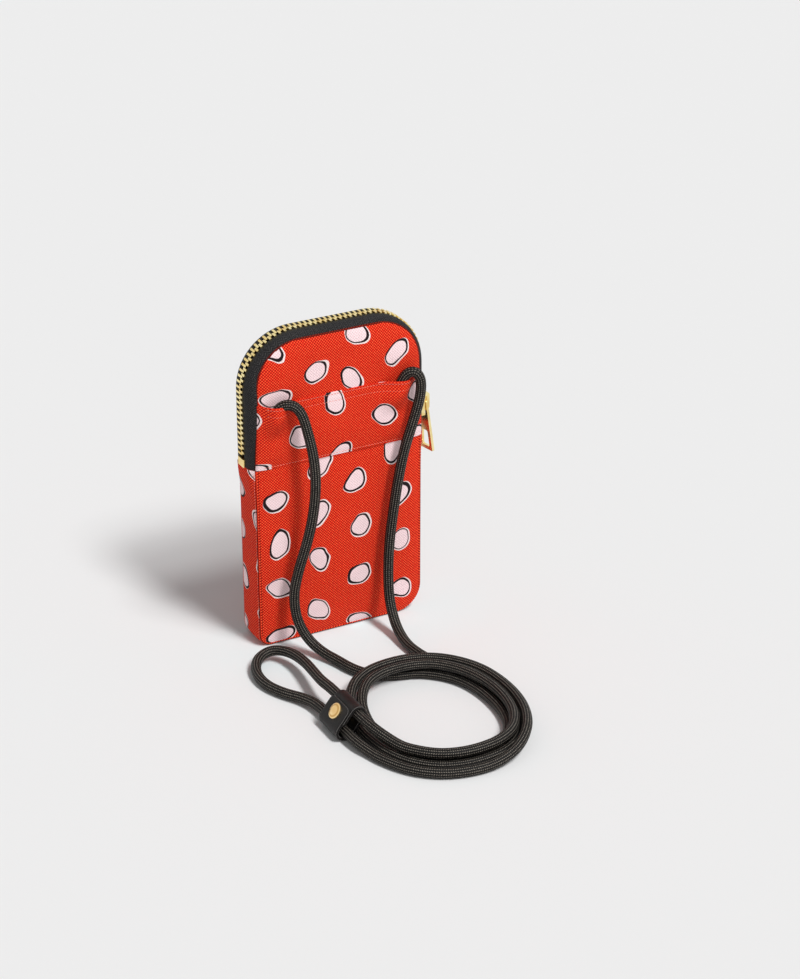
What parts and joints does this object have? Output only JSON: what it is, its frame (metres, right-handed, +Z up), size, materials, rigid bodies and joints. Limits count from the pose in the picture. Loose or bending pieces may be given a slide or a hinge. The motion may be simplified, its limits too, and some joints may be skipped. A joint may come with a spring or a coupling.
{
  "type": "zipped phone pouch with neck cord",
  "caption": "Slim padded phone pouch with a zip round its top, a band sewn across its back, and a long doubled neck cord that ends in a coil with a riveted leather keeper.",
  "frame": {"origin": "middle of the pouch's flat bottom, on the floor it stands on", "axes": "+Z up the pouch, +X across it towards the zip's slider, -Y out of the back with the band"},
  "size_m": [0.1372, 0.2041, 0.1908],
  "materials": {
    "printed_fabric": "woven, printed",
    "padding": "soft foam",
    "lining": "smooth woven",
    "zip_tape": "herringbone woven",
    "brass": "polished",
    "cord": "braided",
    "leather": "smooth, cut edges"
  },
  "bodies": {
    "pouch": {"back_panel": "printed_fabric", "back_padding": "padding", "back_lining": "lining", "front_panel": "printed_fabric", "front_padding": "padding", "front_lining": "lining", "gusset": "printed_fabric", "gusset_lining": "lining", "cord_band": "printed_fabric", "zip_tape_back": "zip_tape", "zip_tape_front": "zip_tape", "zip_bottom_stop": "brass", "zip_top_stops": "brass", "zip_teeth_back": "brass", "zip_teeth_back_right": "brass", "zip_teeth_front_left": "brass", "zip_teeth_front_right": "brass", "cord_end_left": "cord", "cord_end_right": "cord", "cord_drop_left": "cord", "cord_drop_right": "cord", "cord_coil_left": "cord", "cord_coil_right": "cord", "cord_end_loop": "cord"},
    "flap": {"front_flap": "printed_fabric", "flap_padding": "padding", "flap_lining": "lining", "zip_tape_flap": "zip_tape", "zip_teeth_flap_top": "brass", "zip_teeth_flap_left": "brass", "zip_teeth_flap_right": "brass"},
    "slider": {"zip_slider": "brass", "slider_bail": "brass"},
    "pull": {"zip_pull": "brass"},
    "keeper": {"keeper_strap": "leather", "keeper_rivet_cap": "brass", "keeper_rivet_post": "brass"}
  },
  "joints": [
    {"name": "mouth_flap", "type": "hinge", "parent": "pouch", "child": "flap", "pos_m": [0, 0.012, 0.138], "axis": [-1, 0, 0], "range_deg": [0, 50], "deforming": ["zip_teeth_flap_left", "zip_teeth_flap_right"]},
    {"name": "zip_slide", "type": "slide", "parent": "pouch", "child": "slider", "axis": [0, 0, 1], "range_m": [0, 0.022], "deforming": ["zip_teeth_back_right", "zip_teeth_flap_right", "zip_teeth_front_right"]},
    {"name": "pull_swing", "type": "hinge", "parent": "slider", "child": "pull", "pos_m": [0.05975, 0, 0.12775], "axis": [0, -1, 0], "range_deg": [0, 160]},
    {"name": "keeper_slide", "type": "slide", "parent": "pouch", "child": "keeper", "axis": [0, 1, 0], "range_m": [-0.004, 0.004]}
  ]
}
